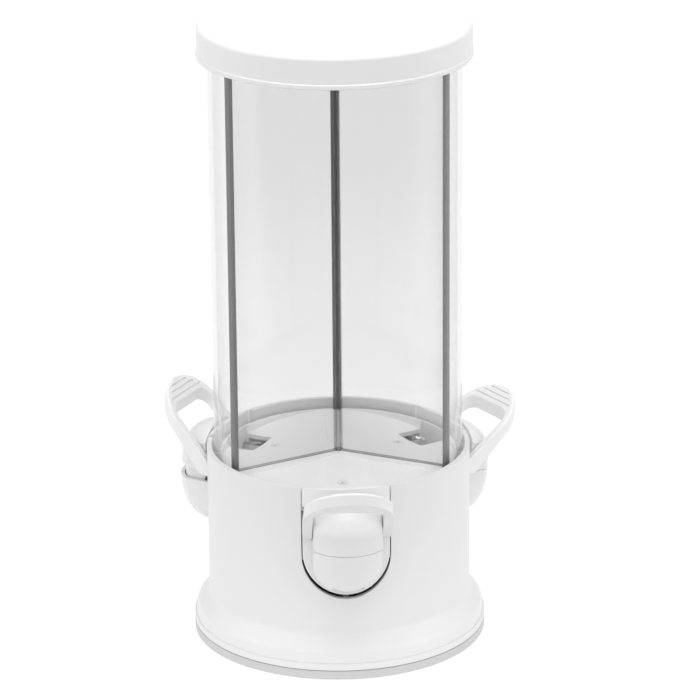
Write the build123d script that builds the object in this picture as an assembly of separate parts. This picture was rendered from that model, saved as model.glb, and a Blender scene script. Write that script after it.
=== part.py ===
from build123d import *
import math
import os

# Candy dispenser with three compartments: a clear tube with a three-way divider
# stands on a round base, and each compartment has its own spout and lift lever.
# Millimetres, +Z up. The origin is the middle of the face that the feet rest on.
# The front spout points along -Y; the others stand one third of a turn away.

# Driving sizes: the whole
unit_count = 3
front_angle = 0.0

# Driving sizes: turntable foot
pad_proud = 0.8
centre_pad_radius = 9.4
pad_radius = 7.0
pad_inset = 13.7
pad_count = 4
foot_overhang = 0.1
foot_height = 4.4
foot_web = 2.3
foot_rim = 2.6
foot_edge = 0.4
glide_inset = 21.7
glide_width = 6.0
glide_height = 1.5
glide_seat = 1.1
bush_radius = 7.0
bush_bore_radius = 3.1
pivot_radius = 3.0
pivot_head_radius = 5.2
pivot_head_height = 1.6
pivot_washer_radius = 6.4
pivot_washer_height = 0.6
pivot_length = 14.0
pivot_hub_radius = 9.0
pivot_hub_cover = 2.5
pivot_socket_radius = 1.5
pivot_socket_depth = 1.0
running_clearance = 0.1
slice_steps = 12
pin_clearance = 0.08

# Driving sizes: base housing
wall = 2.5
base_height = 96.9
lip_reach = 7.8
lip_height = 3.7
lip_step = 0.6
shoulder_reach = 6.4
shoulder_rise = 6.0
flare_rise = 13.2
flare_round = 5.0
flare_drop = 0.8
pan_thickness = 2.6
pan_clearance = 0.3
boss_radius = 4.5
boss_height = 24.0
boss_inset = 5.8
boss_web = 2.5
boss_web_rise = 2.5

# Driving sizes: slot in the wall and the spout that fills it
slot_half = 22.9
slot_low = 42.3
plate_side_gap = 0.5
plate_low_gap = 2.4
seam_height = 74.4
seam_gap = 0.2
nose_reach = 22.7
nose_half = 17.5
nose_arc = 20.9
nose_wall = 2.0
bowl_depth = 24.4
bowl_flat = 7.4
cap_straight = 8.0
cap_rise = 17.0
throat_half = 10.8
throat_wall = 2.0
throat_reach = 9.0
throat_deck_gap = 1.8
chute_high_drop = 10.4
chute_low_drop = 22.9
chute_reach = 3.7
chute_floor = 2.2
outlet_near_reach = 4.7
outlet_far_reach = 17.7
outlet_half = 8.0
rib_half = 1.5
rib_inset = 6.3
lug_width = 4.0
lug_thickness = 3.0
lug_foot_depth = 6.0
lug_foot_height = 2.5
lug_drop = 12.4
lug_rise = 11.6

# Driving sizes: hinge, lever and flap
hinge_inset = 13.3
hinge_rise = 2.6
pin_radius = 1.5
press_clearance = 0.02
shut_angle = 36.0
open_travel = 15.0
left_lift = 13.5
lever_play = {"front": 3.0, "right": -1.0, "left": 0.0}
lever_half = 22.5
lever_inner_half = 17.9
lever_reach = 65.0
lever_oval = 23.0
lever_top = -3.0
lever_depth = 5.8
heel_gap = 2.1
ear_gap = 0.6
lever_root_depth = 8.8
root_taper_end = 38.0
lever_window_end = 52.0
lever_window_round = 7.0
lever_hub_radius = 6.0
lever_round = 1.0
groove_first = 54.3
groove_pitch = 3.05
groove_width = 1.2
groove_depth = 0.5
groove_halves = (15.0, 11.5, 7.5, 3.8)
gate_radius = 26.0
gate_wall = 1.8
gate_low_angle = -60.0
gate_high_angle = -8.0
web_high_angle = 26.0
web_thickness = 1.5
side_clearance = 0.4
shield_radius = 12.0
shield_wall = 1.2
shield_low_angle = -20.0
shield_high_angle = 40.0
skirt_gap = 0.5
skirt_wall = 1.2
skirt_drop = 10.0
skirt_root = 2.0
flap_hub_radius = 4.4
flap_back_gap = 0.5
stop_radius = 3.2
stop_thickness = 1.2

# Driving sizes: hopper deck
deck_rise = 23.6
deck_plate = 2.8
deck_flange_height = 4.6
deck_skirt_wall = 2.2
funnel_depth = 5.6
funnel_wall = 2.4
ledge_width = 4.5
rim_ledge = 1.5
outlet_reach = 8.0
lip_plate = 1.8
lip_plate_half = 8.3
lip_plate_drop = 3.4
tab_drop = 1.0
tab_gap = 0.15
tab_lever_gap = 0.4
pillar_offset = 15.5
pillar_radius = 4.0
deck_screw_radius = 1.5
deck_screw_head_radius = 2.6
deck_screw_head_height = 1.8
deck_screw_length = 14.0
screw_cross_width = 0.6
screw_cross_depth = 0.9
pan_screw_length = 12.0

# Driving sizes: canister
tube_radius = 65.0
tube_wall = 2.5
tube_length = 232.8
tube_fit = 0.3
tube_gap = 1.3
pane_thickness = 2.0
pane_top_gap = 1.5
pane_skew = {"right": 2.1, "rear": -2.9, "left": -3.5}
post_radius = 2.3
strip_width = 4.4
strip_thickness = 2.0
strip_slot_depth = 1.2
post_slot_depth = 0.9
pane_fit = 0.08

# Driving sizes: lid
lid_reach = 5.0
lid_wall = 2.2
lid_skirt = 17.3
lid_crown = 1.6
lid_round = 3.0
lid_bead = 0.5
lid_bead_height = 2.0
seal_thickness = 2.0
seal_inset = 4.5
seal_outer_gap = 0.4

# Heights and radii worked out from the driving sizes
foot_low = pad_proud
foot_top = foot_low + foot_height
turn_gap = glide_height - glide_seat
base_low = foot_top + turn_gap
rim_height = base_low + base_height
wall_inner = tube_radius + tube_gap
wall_radius = wall_inner + wall
lip_radius = wall_radius + lip_reach
shoulder_radius = wall_radius + shoulder_reach
foot_radius = lip_radius + foot_overhang
glide_radius = foot_radius - glide_inset
pad_circle = foot_radius - pad_inset
boss_circle = wall_inner - boss_inset
hinge_radius = wall_inner - hinge_inset
hinge_height = seam_height + hinge_rise
nose_front = wall_radius + nose_reach
nose_centre = nose_front - nose_arc
throat_back = hinge_radius - throat_reach
chute_high = seam_height - chute_high_drop
chute_low = seam_height - chute_low_drop
chute_end = wall_inner + chute_reach
outlet_near = wall_inner + outlet_near_reach
outlet_far = wall_inner + outlet_far_reach
rib_far = wall_inner - rib_inset
lug_low = seam_height - lug_drop
lug_high = seam_height + lug_rise
lip_plate_low = seam_height - lip_plate_drop
lip_top = base_low + lip_height
pan_top = base_low + pan_thickness
pan_radius = lip_radius - wall - pan_clearance
turn_step = 360.0 / unit_count
unit_angles = {
    "front": front_angle,
    "right": front_angle + turn_step,
    "left": front_angle - turn_step,
}
pane_names = {
    "right": front_angle + turn_step / 2,
    "rear": front_angle + turn_step * 1.5,
    "left": front_angle - turn_step / 2,
}
rest_lift = {"front": 0.0, "right": 0.0, "left": left_lift}
plate_half = slot_half - plate_side_gap
plate_low = slot_low + plate_low_gap
tube_inner = tube_radius - tube_wall
plug_radius = tube_inner - tube_fit
deck_top = seam_height + deck_rise
tube_low = deck_top - deck_flange_height
tube_top = tube_low + tube_length
deck_low = tube_low - deck_flange_height
deck_radius = wall_inner - tube_fit
throat_top = deck_low - throat_deck_gap
tab_bottom = tube_low - tab_drop
outlet_centre = hinge_radius
outlet_inner = outlet_centre - outlet_reach
outlet_outer = outlet_centre + outlet_reach
pillar_circle = outlet_centre - pillar_offset
funnel_low = deck_top - funnel_depth
lid_radius = tube_radius + lid_reach
seal_inner = tube_radius - seal_inset
lid_seat = tube_top + seal_thickness
lid_inner = lid_radius - lid_wall
lid_edge_top = lid_seat + lid_wall
lid_low = lid_edge_top - lid_skirt
flap_web_half = throat_half - side_clearance
strip_outer = tube_inner - pane_fit
strip_inner = strip_outer - strip_thickness
hinge = Location((0, -hinge_radius, hinge_height))
tiny = 0.01

os.makedirs("parts", exist_ok=True)


def save(node, shape):
    shape.label = node
    export_step(shape, "parts/" + node + ".step")


def side(points):
    """Face drawn in radius and height, standing in the unit's middle plane."""
    corners = [(0, -r, z) for r, z in points]
    return make_face(Polyline(*corners, close=True))


def slab(face, low, high):
    """Side face thickened across the unit, from one width to another."""
    return Pos(low, 0, 0) * extrude(face, amount=high - low, dir=(1, 0, 0))


def both_sides(face, low, high):
    return slab(face, low, high) + slab(face, -high, -low)


def ring(outer, inner, low, high):
    height = high - low
    outside = Pos(0, 0, low) * Cylinder(outer, height, align=(Align.CENTER, Align.CENTER, Align.MIN))
    inside = Pos(0, 0, low) * Cylinder(inner, height, align=(Align.CENTER, Align.CENTER, Align.MIN))
    return outside - inside


def disc(radius, low, high):
    return Pos(0, 0, low) * Cylinder(
        radius, high - low, align=(Align.CENTER, Align.CENTER, Align.MIN)
    )


def cross_pin(radius, low, high):
    """Round bar across the unit, about the middle of the X axis."""
    bar = Cylinder(radius, high - low, align=(Align.CENTER, Align.CENTER, Align.MIN))
    return Pos(low, 0, 0) * Rot(0, 90, 0) * bar


def block(x_low, x_high, r_low, r_high, z_low, z_high):
    size = (x_high - x_low, r_high - r_low, z_high - z_low)
    middle = ((x_low + x_high) / 2, -(r_low + r_high) / 2, (z_low + z_high) / 2)
    return Pos(*middle) * Box(*size)


def turned(shape, angle):
    return Rot(0, 0, angle) * shape


def around(shape, angles):
    copies = [turned(shape, angle) for angle in angles]
    return Compound(children=copies)


def fused_around(shape, angles):
    whole = turned(shape, angles[0])
    for angle in angles[1:]:
        whole = whole + turned(shape, angle)
    return whole


def polar(radius, degrees):
    turn = math.radians(degrees)
    return radius * math.cos(turn), radius * math.sin(turn)


def revolved(points):
    """Closed outline in radius and height, turned about the Z axis."""
    corners = [(r, 0, z) for r, z in points]
    return revolve(make_face(Polyline(*corners, close=True)), axis=Axis.Z)


unit_turns = list(unit_angles.values())
pane_turns = list(pane_names.values())


# Turntable foot: a shallow round tray, open below, that stands on rubber pads
def make_foot_plate():
    plate = disc(foot_radius, foot_low, foot_top)
    hollow = ring(foot_radius - foot_rim, bush_radius + foot_rim, foot_low, foot_top - foot_web)
    groove = ring(
        glide_radius + press_clearance,
        glide_radius - glide_width - press_clearance,
        foot_top - glide_seat,
        foot_top,
    )
    bush_hole = disc(bush_radius + press_clearance, foot_low, foot_top)
    plate = plate - hollow - groove - bush_hole
    edge = plate.edges().filter_by(GeomType.CIRCLE).group_by(Axis.Z)[-1].sort_by(SortBy.LENGTH)[-1]
    return chamfer(edge, foot_edge)


def make_foot_pads():
    pad = disc(pad_radius, 0, foot_top - foot_web)
    pad = chamfer(pad.edges().group_by(Axis.Z)[0], pad_proud / 2)
    pad = Pos(0, -pad_circle, 0) * pad
    turns = [180.0 / pad_count + 360.0 / pad_count * i for i in range(pad_count)]
    centre = disc(centre_pad_radius, 0, pad_proud)
    return Compound(children=[turned(pad, turn) for turn in turns] + [centre])


save("foot_plate", make_foot_plate())
save("foot_pads", make_foot_pads())
save(
    "glide_ring",
    ring(glide_radius, glide_radius - glide_width, foot_top - glide_seat, base_low),
)

# Plain bearing in the middle of the foot, and the shouldered screw that turns in it
bush_low = foot_low + pivot_head_height + pivot_washer_height + running_clearance
bush = disc(bush_radius, bush_low, foot_top) - disc(bush_bore_radius, bush_low, foot_top)
save("pivot_bush", bush)

washer = disc(pivot_washer_radius, bush_low - pivot_washer_height, bush_low)
washer = washer - disc(pivot_radius + press_clearance, bush_low - pivot_washer_height, bush_low)
save("pivot_washer", washer)

head_top = bush_low - pivot_washer_height
pivot = disc(pivot_head_radius, head_top - pivot_head_height, head_top)
pivot = pivot + disc(pivot_radius, head_top, head_top + pivot_length)
head_low = head_top - pivot_head_height
socket = disc(pivot_socket_radius, head_low, head_low + pivot_socket_depth)
save("pivot_screw", pivot - socket)


# Base pan: the floor of the base, with a threaded hub and the pillars that carry the deck
def make_base_pan():
    pan = disc(pan_radius, base_low, pan_top)
    hub_top = head_top + pivot_length + pivot_hub_cover
    hub = disc(pivot_hub_radius, base_low, hub_top)
    pan = pan + hub - disc(pivot_radius + press_clearance, base_low, head_top + pivot_length)
    pillar = Pos(0, -pillar_circle, 0) * disc(pillar_radius, pan_top, deck_low)
    hole_low = deck_low - deck_screw_length
    hole = Pos(0, -pillar_circle, 0) * disc(deck_screw_radius + press_clearance, hole_low, deck_low)
    pan = pan + fused_around(pillar, unit_turns) - fused_around(hole, unit_turns)
    screw_hole = Pos(0, -boss_circle, 0) * disc(
        deck_screw_radius + running_clearance, base_low, pan_top
    )
    screw_sink = Pos(0, -boss_circle, 0) * disc(
        deck_screw_head_radius + running_clearance, base_low, base_low + deck_screw_head_height
    )
    pan = pan - fused_around(screw_hole, pane_turns) - fused_around(screw_sink, pane_turns)
    return pan


save("base_pan", make_base_pan())


# Base housing: a drum whose foot flares out to a lip, with a slot for each spout
def flare_heights(inset):
    """Heights of the lip's step, the shoulder and the flare's end; the inside lies lower."""
    drop = flare_drop if inset else 0
    return lip_top - drop, lip_top + shoulder_rise - drop, lip_top + flare_rise - drop


def housing_outline(inset, low):
    """Outside of the flare and wall, moved in by a wall thickness if asked."""
    step_z, shoulder_z, flare_z = flare_heights(inset)
    points = [
        (0, low),
        (lip_radius - inset, low),
        (lip_radius - inset, step_z),
        (lip_radius - lip_step - inset, step_z),
        (shoulder_radius - inset, shoulder_z),
        (wall_radius - inset, flare_z),
        (wall_radius - inset, rim_height),
        (0, rim_height),
    ]
    return points


def make_drum(inset, low):
    drum = revolved(housing_outline(inset, low))
    circles = drum.edges().filter_by(GeomType.CIRCLE)
    step_z, shoulder_z, flare_z = flare_heights(inset)
    bends = [e for e in circles if min(abs(e.center().Z - z) for z in (shoulder_z, flare_z)) < tiny]
    return fillet(bends, flare_round)


def make_slot(half, low, high):
    """Upright tongue with a round lower end, running out through the wall."""
    reach = wall_radius + wall
    middle = low + half
    tongue = block(-half, half, wall_inner / 2, reach, middle, high)
    drum_end = Rot(90, 0, 0) * Cylinder(half, reach - wall_inner / 2)
    drum_end = Pos(0, -(reach + wall_inner / 2) / 2, middle) * drum_end
    return tongue + drum_end


def make_base_housing():
    housing = make_drum(0, base_low) - make_drum(wall, base_low - wall)
    boss = Pos(0, -boss_circle, 0) * disc(boss_radius, pan_top, pan_top + boss_height)
    web_low = pan_top + boss_web_rise
    web_far = wall_radius - wall / 2
    web = block(-boss_web / 2, boss_web / 2, boss_circle, web_far, web_low, pan_top + boss_height)
    hole = Pos(0, -boss_circle, 0) * disc(
        deck_screw_radius + press_clearance, pan_top, pan_top + pan_screw_length
    )
    bosses = fused_around(boss + web - hole, pane_turns)
    slot = make_slot(slot_half, slot_low, rim_height + wall)
    return housing + bosses - fused_around(slot, unit_turns)


save("base_housing", make_base_housing())


def make_screw(length, head_radius, head_height, shank_radius):
    """Round-headed screw, point down, with its head's underside at height zero."""
    screw = disc(shank_radius, -length, 0) + disc(head_radius, 0, head_height)
    bar = Box(head_radius, screw_cross_width, screw_cross_depth * 2)
    cross = bar + Rot(0, 0, 90) * bar
    return screw - Pos(0, 0, head_height) * cross


# Screws that hold the pan to the housing, from below
pan_screw = make_screw(
    pan_screw_length, deck_screw_head_radius, deck_screw_head_height, deck_screw_radius
)
pan_screw = Pos(0, -boss_circle, base_low + deck_screw_head_height) * (Rot(180, 0, 0) * pan_screw)
save("pan_screws", around(pan_screw, pane_turns))


# Spout: the wall plate, the lower bowl and the throat that feeds it, in one moulding.
# The nose is round in front with flat sides, and its two ends are elliptical in section.
def nose_body(arc, corners, inset):
    """Arc and corners in radius and height, turned about the nose's own axis, with flat sides."""
    outline = Plane.XZ * make_face([arc, Polyline(*corners)])
    half = nose_half - inset
    sides = Box(half * 2, nose_arc * 3, nose_front * 4)
    return Pos(0, -nose_centre, 0) * (revolve(outline, axis=Axis.Z) & sides)


def bowl_solid(inset):
    """Lower part of the nose: a quarter ellipse down to a small flat bottom."""
    radius = nose_arc - inset
    depth = bowl_depth - inset
    low = seam_height - depth
    arc = EllipticalCenterArc(
        (bowl_flat, seam_height), radius - bowl_flat, depth, start_angle=270, arc_size=90
    )
    corners = [(radius, seam_height), (0, seam_height), (0, low), (bowl_flat, low)]
    return nose_body(arc, corners, inset)


def cap_solid(inset):
    """Upper part of the nose; an inset copy starts lower, so that it opens the underside."""
    radius = nose_arc - inset
    rise = cap_rise - inset
    low = seam_height + seam_gap - inset
    bend = seam_height + seam_gap + cap_straight
    arc = EllipticalCenterArc((0, bend), radius, rise, start_angle=0, arc_size=90)
    corners = [(0, bend + rise), (0, low), (radius, low), (radius, bend)]
    return nose_body(arc, corners, inset)


def nose_prism(inset, low, high):
    """Straight length of the nose, with its sides and front moved in."""
    half = nose_half - inset
    body = disc(nose_arc - inset, low, high)
    sides = Box(half * 2, nose_arc * 3, high * 4)
    return Pos(0, -nose_centre, 0) * (body & sides)


def make_spout():
    plate_top = seam_height + heel_gap - ear_gap
    plate = ring(wall_radius, wall_inner, plate_low, plate_top)
    plate = plate & make_slot(plate_half, plate_low, plate_top)
    mouth_half = lever_inner_half
    mouth = block(-mouth_half, mouth_half, throat_back, nose_front, seam_height, plate_top + wall)
    plate = plate - mouth
    outside = block(-nose_half, nose_half, wall_inner, nose_front, 0, seam_height)
    bowl = bowl_solid(0) & outside
    chute = [
        (throat_back, chute_high),
        (chute_end, chute_low),
        (chute_end, chute_low - chute_floor),
        (throat_back - throat_wall, chute_high - chute_floor),
        (throat_back - throat_wall, throat_top),
        (throat_back, throat_top),
    ]
    floor = slab(side(chute), -throat_half - throat_wall, throat_half + throat_wall)
    cheek = [
        (throat_back - throat_wall, chute_high - chute_floor),
        (chute_end, chute_low - chute_floor),
        (chute_end, seam_height),
        (wall_inner - wall, seam_height),
        (outlet_outer, throat_top),
        (throat_back - throat_wall, throat_top),
    ]
    cheeks = both_sides(side(cheek), throat_half, throat_half + throat_wall)
    rib = [
        (throat_back, pan_top),
        (rib_far, pan_top),
        (rib_far, chute_low),
        (throat_back, chute_high - chute_floor),
    ]
    ribs = slab(side(rib), -rib_half, rib_half)
    body = plate + bowl + floor + cheeks + ribs
    duct = [
        (throat_back, chute_high),
        (chute_end, chute_low),
        (chute_end, seam_height + wall),
        (throat_back, seam_height + wall),
    ]
    body = body - slab(side(duct), -throat_half, throat_half)
    inner_bowl = bowl_solid(nose_wall) & outside
    floor_corners = [
        (throat_back, chute_high),
        (chute_end, chute_low),
        (chute_end, chute_low - chute_floor),
        (throat_back, chute_high - chute_floor),
    ]
    throat_outer = throat_half + throat_wall
    inner_bowl = inner_bowl - slab(side(floor_corners), -throat_outer, throat_outer)
    body = body - inner_bowl
    outlet_low = seam_height - bowl_depth - wall
    outlet = block(-outlet_half, outlet_half, outlet_near, outlet_far, outlet_low, seam_height)
    body = body - outlet
    lug = ring(wall_inner - press_clearance, wall_inner - lug_thickness, lug_low, lug_high)
    lug_box = block(slot_half, slot_half + lug_width, throat_back, wall_inner, lug_low, lug_high)
    lug_side = lug & lug_box
    lug_foot_near = wall_inner - lug_foot_depth
    lug_foot_high = lug_low + lug_foot_height
    foot_box = block(
        throat_half, slot_half + lug_width, lug_foot_near, wall_inner, lug_low, lug_foot_high
    )
    lug_foot = ring(wall_inner, lug_foot_near, lug_low, lug_foot_high) & foot_box
    lug_side = lug_side + lug_foot
    body = body + lug_side + mirror(lug_side, about=Plane.YZ)
    bore = cross_pin(pin_radius + pin_clearance, -slot_half, slot_half)
    return body - hinge * bore


def sector(radius, low_angle, high_angle):
    """Corners of a slice about the hinge, drawn with the hinge at radius and height zero."""
    corners = [(0, 0)]
    for index in range(slice_steps + 1):
        angle = low_angle + (high_angle - low_angle) * index / slice_steps
        corners.append(polar(radius, angle))
    return corners


# Lever: a stirrup that straddles the cap, with a grooved thumb pad at its tip. Its walls stand
# upright when it is shut, and a curved shield beside each hub closes the slot above it.
# Drawn lying flat with the hinge at the origin, then raised to its shut angle.
def make_lever():
    straight = lever_reach - lever_oval
    outline = [
        Line((-lever_half, 0), (-lever_half, straight)),
        EllipticalCenterArc((0, straight), lever_half, lever_oval, 0, arc_size=180),
        Line((lever_half, straight), (lever_half, 0)),
        Line((lever_half, 0), (-lever_half, 0)),
    ]
    sine = math.sin(math.radians(shut_angle))
    cosine = math.cos(math.radians(shut_angle))
    straight_down = (0, sine, -cosine)
    depth = lever_root_depth / cosine
    top_plane = Plane(origin=(0, 0, lever_top), x_dir=(1, 0, 0), z_dir=(0, 0, -1))
    stirrup = extrude(top_plane * make_face(outline), amount=depth, dir=straight_down)
    window_low = -lever_hub_radius * 2
    window_size = (lever_inner_half * 2, lever_window_end - window_low)
    window_face = Rectangle(*window_size)
    window_face = fillet(window_face.vertices(), lever_window_round)
    window_face = Pos(0, (lever_window_end + window_low) / 2) * window_face
    window = extrude(top_plane * window_face, amount=depth, dir=straight_down)
    under = lever_top - lever_depth
    root = lever_top - lever_root_depth
    heel_rise = (seam_height + heel_gap - hinge_height) / cosine
    heel_near = (heel_rise - lever_top) * cosine / sine
    heel_far = (heel_rise - root) * cosine / sine
    profile = [
        (heel_near, lever_top),
        (lever_reach + lever_round, lever_top),
        (lever_reach + lever_round, under),
        (root_taper_end, under),
        (heel_far, root),
    ]
    stirrup = stirrup & slab(side(profile), -lever_half, lever_half)
    stirrup = stirrup - window
    rims = stirrup.edges().filter_by(lambda e: abs(e.bounding_box().min.Z - lever_top) < tiny)
    rims = rims.filter_by(lambda e: abs(e.bounding_box().max.Z - lever_top) < tiny)
    rims = rims.filter_by(lambda e: e.center().Y < -heel_near - lever_round)
    stirrup = fillet(rims, lever_round)
    for index, half in enumerate(groove_halves):
        reach = groove_first + index * groove_pitch
        cut = SlotOverall(half * 2, groove_width)
        cut = Pos(0, -reach, lever_top - groove_depth) * extrude(cut, amount=groove_depth * 2)
        stirrup = stirrup - cut
    hub_near = throat_half + throat_wall + side_clearance
    hub = both_sides_pin(lever_hub_radius, hub_near, lever_half)
    neck = [
        (0, lever_hub_radius),
        (heel_near + lever_hub_radius, lever_top + lever_round),
        (heel_near + lever_hub_radius * 1.5, lever_top - lever_depth / 2),
        (heel_near, lever_top),
        (0, -lever_hub_radius),
    ]
    neck_sides = both_sides(side(neck), lever_inner_half, lever_half)
    slice_face = side(sector(shield_radius, shield_low_angle, shield_high_angle))
    shield = both_sides(slice_face, hub_near, lever_half)
    shield = shield - cross_pin(shield_radius - shield_wall, -slot_half, slot_half)
    lever = stirrup + hub + neck_sides + shield
    lever = lever - cross_pin(pin_radius + press_clearance, -slot_half, slot_half)
    return Rot(-shut_angle, 0, 0) * lever


def both_sides_pin(radius, low, high):
    return cross_pin(radius, low, high) + cross_pin(radius, -high, -low)


def swept_room(inset):
    """Room in the bowl that stays clear of its wall while the flap turns through its travel."""
    room = bowl_solid(inset) + nose_prism(inset, seam_height, seam_height + nose_arc)
    return room & hinge * (Rot(open_travel, 0, 0) * (hinge.inverse() * room))


def make_skirt():
    """Thin wall below the cap that keeps the bowl shut while the flap starts to lift."""
    outer = nose_wall + skirt_gap
    inner = outer + skirt_wall
    root_low = seam_height + seam_gap
    root_high = root_low + skirt_root
    ledge = nose_prism(nose_wall - press_clearance, root_low, root_high)
    ledge = ledge - nose_prism(inner, root_low, root_high)
    shell = swept_room(outer) - swept_room(inner)
    near = wall_radius + nose_wall
    shell = shell & block(-nose_half, nose_half, near, nose_front, seam_height - skirt_drop, root_high)
    return shell + ledge & block(-nose_half, nose_half, near, nose_front, 0, root_high)


# Flap: the cap over the bowl and the gate inside the throat, in one moulding on the pin
def make_flap():
    reach = wall_radius + flap_back_gap - hinge_radius
    wide = nose_half * 2
    height = wide * 2
    tilt = Rot(open_travel, 0, 0)
    outside = block(-wide, wide, reach, reach + wide * 2, -height, height)
    inside = block(-wide, wide, reach + nose_wall, reach + wide * 2, -height, height)
    cap = cap_solid(0) & (hinge * (tilt * outside))
    cap = cap - (cap_solid(nose_wall) & (hinge * (tilt * inside)))
    pie = side(sector(gate_radius - gate_wall / 2, gate_low_angle, web_high_angle))
    webs = hinge * both_sides(pie, flap_web_half - web_thickness, flap_web_half)
    hub = hinge * both_sides_pin(flap_hub_radius, flap_web_half - web_thickness, flap_web_half)
    gate = hinge * cross_pin(gate_radius, -flap_web_half, flap_web_half)
    gate = gate - hinge * cross_pin(gate_radius - gate_wall, -flap_web_half, flap_web_half)
    far = gate_radius * 2
    low_r, low_z = polar(far, gate_low_angle)
    high_r, high_z = polar(far, gate_high_angle)
    wedge = [
        (hinge_radius, hinge_height),
        (hinge_radius + low_r, hinge_height + low_z),
        (hinge_radius + high_r, hinge_height + high_z),
    ]
    gate = gate & slab(side(wedge), -flap_web_half, flap_web_half)
    rotor = webs + gate + hub
    flap = cap + rotor + make_skirt()
    return flap - hinge * cross_pin(pin_radius + press_clearance, -slot_half, slot_half)


def raised(shape, lift):
    """A lever part turned about its hinge, tip upwards."""
    return hinge * (Rot(-lift, 0, 0) * (hinge.inverse() * shape))


spout = make_spout()
lever = hinge * make_lever()
flap = make_flap()
pin = hinge * cross_pin(pin_radius, -lever_half, lever_half)
stop = cross_pin(stop_radius, lever_half, lever_half + stop_thickness)
stop = stop - cross_pin(pin_radius / 2, lever_half, lever_half + stop_thickness)
stops = hinge * stop + hinge * mirror(stop, about=Plane.YZ)

for name, angle in unit_angles.items():
    lift = rest_lift[name]
    save("spout_" + name, turned(spout, angle))
    save("lever_" + name, turned(raised(lever, lift + lever_play[name]), angle))
    save("flap_" + name, turned(raised(flap, lift), angle))
    save("hinge_pin_" + name, turned(raised(pin, lift), angle))
    save("pin_stops_" + name, turned(raised(stops, lift), angle))


# Hopper deck: the floor of the canister, with a funnel and an outlet for each spout
def make_hopper_deck():
    plate = disc(plug_radius, deck_top - deck_plate, deck_top)
    skirt = ring(plug_radius, plug_radius - deck_skirt_wall, deck_low, deck_top)
    flange = ring(deck_radius, plug_radius - deck_skirt_wall, deck_low, tube_low)
    deck = plate + skirt + flange
    reach = plug_radius
    slope = funnel_depth / outlet_centre
    rise = slope * reach
    deck_height = deck_top - deck_low
    cone = Cone(0, reach, rise, align=(Align.CENTER, Align.CENTER, Align.MIN))
    outer_cone = Pos(0, -outlet_centre, funnel_low - funnel_wall) * cone
    inner_cone = Pos(0, -outlet_centre, funnel_low) * cone
    half_turn = turn_step / 2
    far = plug_radius * 2
    edge_x, edge_y = polar(far, -90 + half_turn)
    offset = ledge_width / math.sin(math.radians(half_turn))
    wedge = make_face(
        Polyline((0, -offset), (edge_x, edge_y - offset), (-edge_x, edge_y - offset), close=True)
    )
    wedge = Pos(0, 0, deck_low) * extrude(wedge, amount=deck_height * 2)
    bowl = disc(plug_radius - rim_ledge, deck_low, deck_top + deck_plate)
    full_wedge = make_face(Polyline((0, 0), (edge_x, edge_y), (-edge_x, edge_y), close=True))
    full_wedge = Pos(0, 0, deck_low - funnel_wall) * extrude(full_wedge, amount=deck_height * 2)
    under = (outer_cone & full_wedge) & disc(plug_radius, deck_low - funnel_wall, deck_top)
    pocket = (inner_cone & wedge) & bowl
    boss = Pos(0, -pillar_circle, 0) * disc(pillar_radius, deck_low, deck_top - deck_plate)
    outlet = block(-throat_half, throat_half, outlet_inner, outlet_outer, deck_low - wall, deck_top + wall)
    lip_far = outlet_outer + lip_plate
    lip = block(-lip_plate_half, lip_plate_half, outlet_outer, lip_far, lip_plate_low, deck_low)
    lip_root = block(
        -lip_plate_half, lip_plate_half, outlet_outer, plug_radius, deck_low, deck_top - deck_plate
    )
    lip_root = lip_root & disc(plug_radius, deck_low, deck_top)
    deck = deck + fused_around(under + boss, unit_turns)
    tab_half = slot_half - tab_gap
    tab_column = block(-tab_half, tab_half, tube_radius, wall_radius + wall, deck_low, rim_height)
    tab_outer = ring(wall_radius, wall_inner - tube_fit, tab_bottom, rim_height)
    tab_root = ring(wall_radius, wall_inner - tube_fit * 2, tab_bottom, tube_low)
    lever_angle = shut_angle + open_travel + max(lever_play.values())
    lever_over = (lever_top + tab_lever_gap) / math.cos(math.radians(lever_angle))
    slope_near = wall_inner - wall
    slope_far = wall_radius + wall
    lever_rise = math.tan(math.radians(lever_angle))
    lever_path = [
        (slope_near, deck_low),
        (slope_far, deck_low),
        (slope_far, hinge_height + lever_over + (slope_far - hinge_radius) * lever_rise),
        (slope_near, hinge_height + lever_over + (slope_near - hinge_radius) * lever_rise),
    ]
    tab = ((tab_outer + tab_root) & tab_column) - slab(side(lever_path), -slot_half, slot_half)
    deck = deck + fused_around(tab, unit_turns)
    deck = deck - fused_around(pocket, unit_turns)
    deck = deck - fused_around(outlet, unit_turns)
    deck = deck + fused_around(lip + lip_root, unit_turns)
    hole = Pos(0, -pillar_circle, 0) * disc(
        deck_screw_radius + running_clearance, deck_low, deck_top
    )
    head_seat = funnel_low + slope * (outlet_centre - pillar_circle) - deck_screw_head_height
    sink = Pos(0, -pillar_circle, 0) * disc(
        deck_screw_head_radius + running_clearance, head_seat, deck_top
    )
    deck = deck - fused_around(hole + sink, unit_turns)
    return deck, head_seat


deck, deck_screw_seat = make_hopper_deck()
save("hopper_deck", deck)

deck_screw = make_screw(
    deck_screw_length, deck_screw_head_radius, deck_screw_head_height, deck_screw_radius
)
deck_screw = Pos(0, -pillar_circle, deck_screw_seat) * deck_screw
save("deck_screws", around(deck_screw, unit_turns))

# Canister: clear tube, three clear panes in a slotted post, and a grey strip on each pane's edge
save("canister_tube", ring(tube_radius, tube_inner, tube_low, tube_top))

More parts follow.
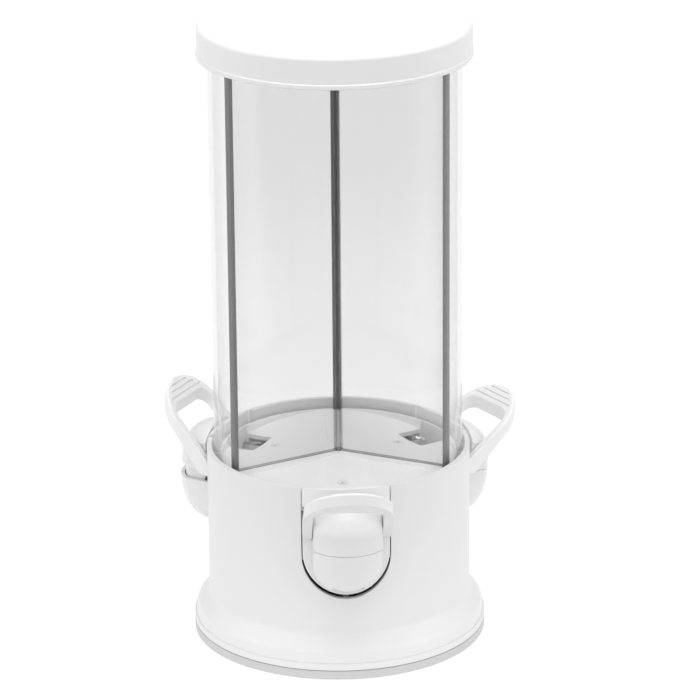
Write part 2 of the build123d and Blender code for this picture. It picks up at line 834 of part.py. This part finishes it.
pane_low = deck_top
pane_top = tube_top - pane_top_gap
pane_near = post_radius - post_slot_depth
pane_far = strip_inner + strip_slot_depth
pane = block(-pane_thickness / 2, pane_thickness / 2, pane_near, pane_far, pane_low, pane_top)
post_slot = block(
    -pane_thickness / 2 - pane_fit,
    pane_thickness / 2 + pane_fit,
    pane_near - pane_fit,
    post_radius * 2,
    pane_low,
    pane_top,
)
pane_angles = {name: turn + pane_skew[name] for name, turn in pane_names.items()}
post = disc(post_radius, pane_low, pane_top) - fused_around(post_slot, list(pane_angles.values()))
save("divider_post", post)

strip = ring(strip_outer, strip_inner, pane_low, pane_top)
strip_near = strip_inner - strip_width
strip = strip & block(-strip_width / 2, strip_width / 2, strip_near, tube_radius, pane_low, pane_top)
strip_slot = block(
    -pane_thickness / 2 - pane_fit,
    pane_thickness / 2 + pane_fit,
    strip_near,
    pane_far + pane_fit,
    pane_low,
    pane_top,
)
strip = strip - strip_slot
for name, angle in pane_angles.items():
    save("divider_pane_" + name, turned(pane, angle))
    save("edge_strip_" + name, turned(strip, angle))


# Lid: a shallow cap with a soft ring that seals on the tube's rim
def make_lid():
    points = [
        (0, lid_low),
        (lid_radius + lid_bead, lid_low),
        (lid_radius + lid_bead, lid_low + lid_bead_height),
        (lid_radius, lid_low + lid_bead_height + lid_bead),
        (lid_radius, lid_edge_top),
        (0, lid_edge_top),
    ]
    cap = revolved(points)
    rim = cap.edges().filter_by(GeomType.CIRCLE).group_by(Axis.Z)[-1]
    cap = fillet(rim, lid_round)
    crown_radius = lid_radius - lid_round
    sphere_radius = (crown_radius**2 + lid_crown**2) / (2 * lid_crown)
    crown = Pos(0, 0, lid_edge_top + lid_crown - sphere_radius) * Sphere(sphere_radius)
    crown = crown & disc(crown_radius, lid_edge_top, lid_edge_top + lid_crown * 2)
    hollow = disc(lid_inner, lid_low, lid_seat)
    return cap + crown - hollow


save("lid", make_lid())
save("lid_seal", ring(lid_inner - seal_outer_gap, seal_inner, tube_top, lid_seat))
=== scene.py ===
import bpy
import math
from mathutils import Matrix, Vector

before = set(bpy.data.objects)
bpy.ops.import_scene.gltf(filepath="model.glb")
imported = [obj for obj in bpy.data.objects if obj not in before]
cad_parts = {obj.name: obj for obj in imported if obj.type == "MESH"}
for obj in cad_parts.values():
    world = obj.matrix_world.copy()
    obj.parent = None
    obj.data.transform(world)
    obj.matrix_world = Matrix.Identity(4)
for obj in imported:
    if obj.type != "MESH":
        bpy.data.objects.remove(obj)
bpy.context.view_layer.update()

# Camera: a long lens half a metre above the lid and two metres away. It stands 3 degrees to
# the left of the front spout and is tipped by half a degree. The picture is square.
lens_pixels = 3993.1
frame_pixels = 680
sensor_mm = 36.0
camera_distance = 1.955
camera_height = 0.8465
camera_turn = math.radians(3.2)
camera_pitch = math.radians(19.38)
camera_roll = math.radians(0.529)
centre_offset_pixels = 2.72

camera_data = bpy.data.cameras.new("camera")
camera_data.sensor_width = sensor_mm
camera_data.lens = sensor_mm * lens_pixels / frame_pixels
camera_data.shift_x = centre_offset_pixels / frame_pixels
camera = bpy.data.objects.new("camera", camera_data)
bpy.context.scene.collection.objects.link(camera)
bpy.context.scene.camera = camera
heading = Matrix.Rotation(-camera_turn, 4, "Z")
tilt = Matrix.Rotation(math.radians(90) - camera_pitch, 4, "X")
roll = Matrix.Rotation(-camera_roll, 4, "Z")
place = Vector((
    -camera_distance * math.sin(camera_turn),
    -camera_distance * math.cos(camera_turn),
    camera_height,
))
camera.matrix_world = Matrix.Translation(place) @ heading @ tilt @ roll


# Studio: a white tent, a little brighter in front of the object than behind it. Colours are
# shown as they are, without a film curve, and light may pass through many walls of acrylic.
def linear(code):
    """sRGB hex colour as linear red, green, blue and 1."""
    values = []
    for start in (1, 3, 5):
        value = int(code[start:start + 2], 16) / 255
        values.append(value / 12.92 if value <= 0.04045 else ((value + 0.055) / 1.055) ** 2.4)
    return (*values, 1.0)


def add_node(tree, kind, settings=None, links=None):
    """One node: settings fill its inputs or options, and links feed its inputs."""
    node = tree.nodes.new(kind)
    for name, value in (settings or {}).items():
        if isinstance(name, int) or name in node.inputs:
            node.inputs[name].default_value = value
        else:
            setattr(node, name, value)
    for name, source in (links or {}).items():
        tree.links.new(source, node.inputs[name])
    return node


tone_behind = 0.54
tone_in_front = 0.86
fade_starts_y = 0.6
fade_ends_y = -0.4
bpy.context.scene.view_settings.view_transform = "Standard"
bpy.context.scene.cycles.transparent_max_bounces = 32

world = bpy.data.worlds.new("studio")
world.use_nodes = True
tree = world.node_tree
towards = add_node(tree, "ShaderNodeTexCoord")
axes = add_node(tree, "ShaderNodeSeparateXYZ", None, {"Vector": towards.outputs["Generated"]})
tent_tone = add_node(
    tree,
    "ShaderNodeMapRange",
    {
        "From Min": fade_starts_y,
        "From Max": fade_ends_y,
        "To Min": tone_behind,
        "To Max": tone_in_front,
    },
    {"Value": axes.outputs["Y"]},
)
tree.links.new(tent_tone.outputs["Result"], tree.nodes["Background"].inputs["Color"])
bpy.context.scene.world = world


# Soft boxes, with places and sizes in metres and power in watts: a wide one overhead, a small
# one that clears the lid's top to white, one in front, and two pairs at the sides.
def add_softbox(name, place, aim_height, size, power):
    """Rectangular soft box that faces the object's axis at a height."""
    light = bpy.data.lights.new(name, "AREA")
    light.shape = "RECTANGLE"
    light.size, light.size_y = size
    light.energy = power
    box = bpy.data.objects.new(name, light)
    direction = Vector((0.0, 0.0, aim_height)) - Vector(place)
    facing = direction.to_track_quat("-Z", "Y").to_matrix().to_4x4()
    box.matrix_world = Matrix.Translation(place) @ facing
    box.visible_camera = False
    bpy.context.scene.collection.objects.link(box)


add_softbox("softbox_top", place=(0.0, -0.1, 2.0), aim_height=0.2, size=(2.2, 2.2), power=15.0)
add_softbox("softbox_lid", place=(0.0, 0.0, 0.78), aim_height=0.3, size=(0.45, 0.45), power=1.3)
add_softbox("softbox_front", place=(0.0, -1.1, 0.8), aim_height=0.25, size=(0.5, 0.5), power=0.8)
for name, x in (("left", -1.1), ("right", 1.1)):
    add_softbox(
        "softbox_" + name, place=(x, -1.6, 0.9), aim_height=0.15, size=(0.5, 0.8), power=1.6
    )
for name, x in (("left", -1.8), ("right", 1.8)):
    add_softbox(
        "side_wall_" + name, place=(x, -0.5, 0.7), aim_height=0.1, size=(1.0, 1.0), power=2.4
    )


# Floor: a white paper sweep, lit from below so that the object casts no shadow on it. The
# light under it ends in front of the object, outside the photo, which calms the base's foot.
def empty_material(name):
    material = bpy.data.materials.new(name)
    material.use_nodes = True
    material.node_tree.nodes.clear()
    return material, material.node_tree


def per_mm(size):
    """Texture scale for a pattern of that size in millimetres, on coordinates in metres."""
    return 1000.0 / size


floor_half = 6.0
paper_fibre_mm = 2.5
unlit_y = -0.34
lit_y = -0.1
unlit_glow = 0.25
lit_glow = 0.88

floor_data = bpy.data.meshes.new("floor")
corners = [(x * floor_half, y * floor_half, 0.0) for x, y in ((-1, -1), (1, -1), (1, 1), (-1, 1))]
floor_data.from_pydata(corners, [], [(0, 1, 2, 3)])
floor = bpy.data.objects.new("floor", floor_data)
bpy.context.scene.collection.objects.link(floor)

floor_material, tree = empty_material("white_paper_sweep")
here = add_node(tree, "ShaderNodeTexCoord").outputs["Object"]
fibre = add_node(
    tree,
    "ShaderNodeTexNoise",
    {"Scale": per_mm(paper_fibre_mm), "Detail": 3.0},
    {"Vector": here},
)
fibre_bump = add_node(
    tree,
    "ShaderNodeBump",
    {"Strength": 0.02, "Distance": 0.0002},
    {"Height": fibre.outputs["Fac"]},
)
floor_axes = add_node(tree, "ShaderNodeSeparateXYZ", None, {"Vector": here})
glow = add_node(
    tree,
    "ShaderNodeMapRange",
    {"From Min": unlit_y, "From Max": lit_y, "To Min": unlit_glow, "To Max": lit_glow},
    {"Value": floor_axes.outputs["Y"]},
)
paper = add_node(
    tree,
    "ShaderNodeBsdfPrincipled",
    {"Base Color": linear("#6C6C6C"), "Roughness": 0.9, "Emission Strength": 1.0},
    {"Normal": fibre_bump.outputs["Normal"], "Emission Color": glow.outputs["Result"]},
)
add_node(tree, "ShaderNodeOutputMaterial", None, {"Surface": paper.outputs["BSDF"]})
floor_data.materials.append(floor_material)


# Foot plate: a low disc of injection moulded ABS that stays still while the base turns on it.
# Its white is slightly greyer than the drum's and matt, so it shows as a thin grey step.
def moulded_abs(name, white, shade, roughness, edge_mm):
    """ABS with a slow ripple from the mould's flow, a faint grain and slightly round edges."""
    cloud_mm = 38.0
    flow_mm = 14.0
    # The real grain is under 0.1 mm and is drawn coarser, so that it shows
    grain_mm = 0.5
    uneven_shine = 0.03
    material, tree = empty_material(name)
    here = add_node(tree, "ShaderNodeTexCoord").outputs["Object"]
    cloud = add_node(
        tree, "ShaderNodeTexNoise", {"Scale": per_mm(cloud_mm), "Detail": 2.0}, {"Vector": here}
    )
    flow = add_node(
        tree, "ShaderNodeTexNoise", {"Scale": per_mm(flow_mm), "Detail": 1.0}, {"Vector": here}
    )
    grain = add_node(
        tree, "ShaderNodeTexNoise", {"Scale": per_mm(grain_mm), "Detail": 2.0}, {"Vector": here}
    )
    tint = add_node(
        tree,
        "ShaderNodeMix",
        {"data_type": "RGBA", 6: linear(white), 7: linear(shade)},
        {"Factor": cloud.outputs["Fac"]},
    )
    shine = add_node(
        tree,
        "ShaderNodeMapRange",
        {"To Min": roughness - uneven_shine, "To Max": roughness + uneven_shine},
        {"Value": flow.outputs["Fac"]},
    )
    edges = add_node(tree, "ShaderNodeBevel", {"samples": 6, "Radius": edge_mm / 1000})
    ripple = add_node(
        tree,
        "ShaderNodeBump",
        {"Strength": 0.05, "Distance": 0.0004},
        {"Height": flow.outputs["Fac"], "Normal": edges.outputs["Normal"]},
    )
    fine = add_node(
        tree,
        "ShaderNodeBump",
        {"Strength": 0.06, "Distance": 0.00004},
        {"Height": grain.outputs["Fac"], "Normal": ripple.outputs["Normal"]},
    )
    plastic = add_node(
        tree,
        "ShaderNodeBsdfPrincipled",
        {"IOR": 1.53},
        {
            "Base Color": tint.outputs[2],
            "Roughness": shine.outputs["Result"],
            "Normal": fine.outputs["Normal"],
        },
    )
    add_node(tree, "ShaderNodeOutputMaterial", None, {"Surface": plastic.outputs["BSDF"]})
    return material


def dress(node, material):
    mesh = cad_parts[node].data
    mesh.materials.clear()
    mesh.materials.append(material)


foot_abs = moulded_abs("matt_abs_foot", "#CACACA", "#C5C5C5", roughness=0.45, edge_mm=0.4)
dress("foot_plate", foot_abs)


# Foot pads: dark grey rubber, moulded and pressed under the foot so that it doesn't slide. The
# rubber is dull, with a slight mottle that breaks up what shine it has.
def mottled_skin(name, light_tone, dark_tone, roughness, mottle_mm):
    """Rubber, enamel or soft plastic, with its mottle drawn coarse enough to show."""
    material, tree = empty_material(name)
    mottle = add_node(
        tree,
        "ShaderNodeTexNoise",
        {"Scale": per_mm(mottle_mm), "Detail": 4.0},
        {"Vector": add_node(tree, "ShaderNodeTexCoord").outputs["Object"]},
    )
    tone = add_node(
        tree,
        "ShaderNodeMix",
        {"data_type": "RGBA", 6: linear(light_tone), 7: linear(dark_tone)},
        {"Factor": mottle.outputs["Fac"]},
    )
    skin = add_node(
        tree,
        "ShaderNodeBump",
        {"Strength": 0.2, "Distance": 0.0001},
        {"Height": mottle.outputs["Fac"]},
    )
    polymer = add_node(
        tree,
        "ShaderNodeBsdfPrincipled",
        {"Roughness": roughness, "IOR": 1.5},
        {"Base Color": tone.outputs[2], "Normal": skin.outputs["Normal"]},
    )
    add_node(tree, "ShaderNodeOutputMaterial", None, {"Surface": polymer.outputs["BSDF"]})
    return material


pad_rubber = mottled_skin(
    "moulded_rubber_feet", "#5C5C5C", "#4C4C4C", roughness=0.8, mottle_mm=0.6
)
dress("foot_pads", pad_rubber)

# Pivot bush and glide ring: turned acetal, a slippery ivory plastic, between the foot and the
# base that turns on it. The cut surface has a soft, even sheen.
acetal = mottled_skin("turned_acetal", "#E8E6E0", "#DDDBD4", roughness=0.42, mottle_mm=0.8)
dress("pivot_bush", acetal)
dress("glide_ring", acetal)

# Base pan: the base's floor, moulded in the foot's matt ABS with the pillars that carry the
# deck. It closes the drum from below and hardly shows.
dress("base_pan", foot_abs)

# Pivot screw, its washer and the pan screws: steel with a bright zinc plate. The plate's
# crystals give it a soft, uneven shine; real ones are finer and are drawn coarser to show.
crystal_mm = 0.4
zinc_steel, tree = empty_material("zinc_plated_steel")
here = add_node(tree, "ShaderNodeTexCoord").outputs["Object"]
crystals = add_node(tree, "ShaderNodeTexVoronoi", {"Scale": per_mm(crystal_mm)}, {"Vector": here})
plate = add_node(
    tree,
    "ShaderNodeMix",
    {"data_type": "RGBA", 6: linear("#DEDEDE"), 7: linear("#CECECE")},
    {"Factor": crystals.outputs["Distance"]},
)
plate_shine = add_node(
    tree,
    "ShaderNodeMapRange",
    {"To Min": 0.24, "To Max": 0.4},
    {"Value": crystals.outputs["Distance"]},
)
zinc = add_node(
    tree,
    "ShaderNodeBsdfPrincipled",
    {"Metallic": 1.0},
    {"Base Color": plate.outputs[2], "Roughness": plate_shine.outputs["Result"]},
)
add_node(tree, "ShaderNodeOutputMaterial", None, {"Surface": zinc.outputs["BSDF"]})
for node in ("pivot_screw", "pivot_washer", "pan_screws"):
    dress(node, zinc_steel)

# Base housing: a drum of ABS, injection moulded in a satin tool and screwed to its pan from
# below. It is a clean white with a soft, even shine.
housing_abs = moulded_abs("satin_abs_housing", "#E5E5E5", "#E2E2E2", roughness=0.34, edge_mm=0.5)
dress("base_housing", housing_abs)

# Spouts and their caps: ABS from a polished tool, so they are glossier than the drum. A spout
# clips into its slot, and its cap turns with the lever.
unit_names = ("front", "right", "left")
spout_abs = moulded_abs("gloss_abs_spout", "#E6E6E6", "#E3E3E3", roughness=0.24, edge_mm=0.4)
for name in unit_names:
    dress("spout_" + name, spout_abs)
    dress("flap_" + name, spout_abs)

# Levers: a stirrup with a grooved thumb pad, moulded in ABS with a satin finish that doesn't
# slip under the thumb. Each turns on a steel pin behind the wall.
lever_abs = moulded_abs("satin_abs_lever", "#ECECEC", "#E9E9E9", roughness=0.32, edge_mm=0.4)
for name in unit_names:
    dress("lever_" + name, lever_abs)

# Hinge pins and their stops: a steel pin for each lever with a push-on cap on each end, in the
# same bright zinc plate as the screws.
for name in unit_names:
    dress("hinge_pin_" + name, zinc_steel)
    dress("pin_stops_" + name, zinc_steel)

# Hopper deck: the tube's floor, one ABS moulding with a funnel to each outlet. It drops into
# the drum and is screwed to the pan's pillars. It is slightly duller, and its white is drawn
# brighter than the other pieces' as painted light, for the light that the lid keeps off it.
deck_abs_painted_light = moulded_abs("satin_abs_deck", "#F0F0F0", "#EDEDED", roughness=0.36, edge_mm=0.4)
dress("hopper_deck", deck_abs_painted_light)

# Deck screws: steel with white enamelled heads, because they show through the tube. The
# enamel is satin, with a slight mottle.
screw_enamel = mottled_skin(
    "white_enamelled_steel", "#E6E6E6", "#DEDEDE", roughness=0.35, mottle_mm=0.6
)
dress("deck_screws", screw_enamel)

# Tube: clear acrylic, extruded, standing in the deck. It takes hardly any light, looks greyer
# where it is seen edge on, and its shine grows there.
deck_level = min(vertex.co.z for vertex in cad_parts["divider_post"].data.vertices)


def clear_acrylic(name, low_tint, top_tint_with_painted_shade, edge_tint, painted_foot_shade, roughness, line_mm):
    """Clear plastic: draw lines along Z, painted shade growing upwards, painted shade at its
    foot.
    """
    painted_shade_starts = deck_level + 0.082
    painted_shade_full = deck_level + 0.172
    painted_foot_shade_end = deck_level + 0.0004
    clear_from = deck_level + 0.0008
    line_stretch = 80
    edge_falloff = 2.5
    acrylic_index = 1.49
    head_on_reflection = ((acrylic_index - 1) / (acrylic_index + 1)) ** 2
    material, tree = empty_material(name)
    here = add_node(tree, "ShaderNodeTexCoord").outputs["Object"]
    stretch = add_node(
        tree,
        "ShaderNodeMapping",
        {"Scale": (per_mm(line_mm), per_mm(line_mm), per_mm(line_mm * line_stretch))},
        {"Vector": here},
    )
    lines = add_node(
        tree,
        "ShaderNodeTexNoise",
        {"Scale": 1.0, "Detail": 2.0},
        {"Vector": stretch.outputs["Vector"]},
    )
    bump = add_node(
        tree,
        "ShaderNodeBump",
        {"Strength": 0.03, "Distance": 0.0001},
        {"Height": lines.outputs["Fac"]},
    )

    # Tint: painted shade that darkens it towards the top, a painted shade line at its foot, and
    # the edge tint where it is seen aslant
    height = add_node(tree, "ShaderNodeSeparateXYZ", None, {"Vector": here}).outputs["Z"]
    painted_shade_height = add_node(
        tree,
        "ShaderNodeMapRange",
        {"interpolation_type": "SMOOTHSTEP", "From Min": painted_shade_starts, "From Max": painted_shade_full},
        {"Value": height},
    )
    tint_with_painted_shade = add_node(
        tree,
        "ShaderNodeMix",
        {"data_type": "RGBA", 6: linear(low_tint), 7: linear(top_tint_with_painted_shade)},
        {"Factor": painted_shade_height.outputs["Result"]},
    )
    # Painted shade: a thin dark band at the foot, where the piece stands on the deck
    painted_foot_shade_height = add_node(
        tree,
        "ShaderNodeMapRange",
        {"From Min": painted_foot_shade_end, "From Max": clear_from},
        {"Value": height},
    )
    body = add_node(
        tree,
        "ShaderNodeMix",
        {"data_type": "RGBA", 6: linear(painted_foot_shade)},
        {"Factor": painted_foot_shade_height.outputs["Result"], 7: tint_with_painted_shade.outputs[2]},
    )
    slant = add_node(tree, "ShaderNodeLayerWeight", {"Blend": 0.5}).outputs["Facing"]
    depth = add_node(tree, "ShaderNodeMath", {"operation": "POWER", 1: edge_falloff}, {0: slant})
    tint = add_node(
        tree,
        "ShaderNodeMix",
        {"data_type": "RGBA", 7: linear(edge_tint)},
        {"Factor": depth.outputs["Value"], 6: body.outputs[2]},
    )

    # Shine: the share that is mirrored grows with the fifth power of the slant
    glance = add_node(tree, "ShaderNodeMath", {"operation": "POWER", 1: 5.0}, {0: slant})
    gloss = add_node(
        tree,
        "ShaderNodeMapRange",
        {"To Min": head_on_reflection, "To Max": 1.0},
        {"Value": glance.outputs["Value"]},
    )
    through = add_node(tree, "ShaderNodeBsdfTransparent", None, {"Color": tint.outputs[2]})
    mirror = add_node(
        tree,
        "ShaderNodeBsdfAnisotropic",
        {"Color": linear("#FFFFFF"), "Roughness": roughness},
        {"Normal": bump.outputs["Normal"]},
    )
    clear = add_node(
        tree,
        "ShaderNodeMixShader",
        None,
        {0: gloss.outputs["Result"], 1: through.outputs["BSDF"], 2: mirror.outputs["BSDF"]},
    )

    # Light from the lamps and the white surroundings passes with the tint and painted shade alone
    path = add_node(tree, "ShaderNodeLightPath")
    soft_light = add_node(
        tree,
        "ShaderNodeMath",
        {"operation": "MAXIMUM"},
        {0: path.outputs["Is Shadow Ray"], 1: path.outputs["Is Diffuse Ray"]},
    )
    open_way = add_node(tree, "ShaderNodeBsdfTransparent", None, {"Color": tint_with_painted_shade.outputs[2]})
    surface = add_node(
        tree,
        "ShaderNodeMixShader",
        None,
        {0: soft_light.outputs["Value"], 1: clear.outputs["Shader"], 2: open_way.outputs["BSDF"]},
    )
    add_node(tree, "ShaderNodeOutputMaterial", None, {"Surface": surface.outputs["Shader"]})
    return material


tube_acrylic = clear_acrylic(
    "clear_acrylic_tube",
    low_tint="#FEFEFE",
    top_tint_with_painted_shade="#FEFEFE",
    edge_tint="#ECECEC",
    painted_foot_shade="#F4F4F4",
    roughness=0.04,
    line_mm=1.5,
)
dress("canister_tube", tube_acrylic)

# Divider post: a slotted rod of extruded acrylic that holds the panes' inner edges. It is
# thick for its width, so its sides look dark and its middle stays light. It is drawn darker
# towards the top and at its foot as painted shade.
post_acrylic = clear_acrylic(
    "clear_acrylic_post",
    low_tint="#E8E8E8",
    top_tint_with_painted_shade="#E0E0E0",
    edge_tint="#8C8C8C",
    painted_foot_shade="#8C8C8C",
    roughness=0.08,
    line_mm=1.0,
)
dress("divider_post", post_acrylic)

# Divider panes: clear acrylic cut from sheet, greyer than the tube, and darker towards the top
# as painted shade. The lower edge is sawn; a thin dark line of painted shade runs along it.
pane_names = ("right", "rear", "left")
pane_acrylic = clear_acrylic(
    "clear_acrylic_pane",
    low_tint="#F8F8F8",
    top_tint_with_painted_shade="#F3F3F3",
    edge_tint="#D8D8D8",
    painted_foot_shade="#969696",
    roughness=0.06,
    line_mm=4.0,
)
for name in pane_names:
    dress("divider_pane_" + name, pane_acrylic)

# Edge strips: grey vinyl, extruded, pushed over the outer edge of each pane. It is dull, with
# faint lines along its length from the die.
die_line_mm = 0.7
die_line_stretch = 100
strip_vinyl, tree = empty_material("extruded_grey_vinyl")
here = add_node(tree, "ShaderNodeTexCoord").outputs["Object"]
stretch = add_node(
    tree,
    "ShaderNodeMapping",
    {"Scale": (per_mm(die_line_mm), per_mm(die_line_mm), per_mm(die_line_mm * die_line_stretch))},
    {"Vector": here},
)
die_lines = add_node(
    tree,
    "ShaderNodeTexNoise",
    {"Scale": 1.0, "Detail": 2.0},
    {"Vector": stretch.outputs["Vector"]},
)
grey = add_node(
    tree,
    "ShaderNodeMix",
    {"data_type": "RGBA", 6: linear("#444444"), 7: linear("#3C3C3C")},
    {"Factor": die_lines.outputs["Fac"]},
)
groove = add_node(
    tree,
    "ShaderNodeBump",
    {"Strength": 0.15, "Distance": 0.0001},
    {"Height": die_lines.outputs["Fac"]},
)
vinyl = add_node(
    tree,
    "ShaderNodeBsdfPrincipled",
    {"Roughness": 0.55, "IOR": 1.53},
    {"Base Color": grey.outputs[2], "Normal": groove.outputs["Normal"]},
)
add_node(tree, "ShaderNodeOutputMaterial", None, {"Surface": vinyl.outputs["BSDF"]})
for name in pane_names:
    dress("edge_strip_" + name, strip_vinyl)

# Lid: a shallow cap of satin ABS with a bead round its lower edge. It rests on the tube's rim
# and lifts straight off.
lid_abs = moulded_abs("satin_abs_lid", "#EAEAEA", "#E7E7E7", roughness=0.3, edge_mm=0.5)
dress("lid", lid_abs)

# Lid seal: a moulded ring of white silicone that sits in the lid and rests on the tube's rim.
# It is soft and dull.
seal_silicone = mottled_skin(
    "silicone_seal", "#DEDEDE", "#D2D2D2", roughness=0.6, mottle_mm=1.0
)
dress("lid_seal", seal_silicone)
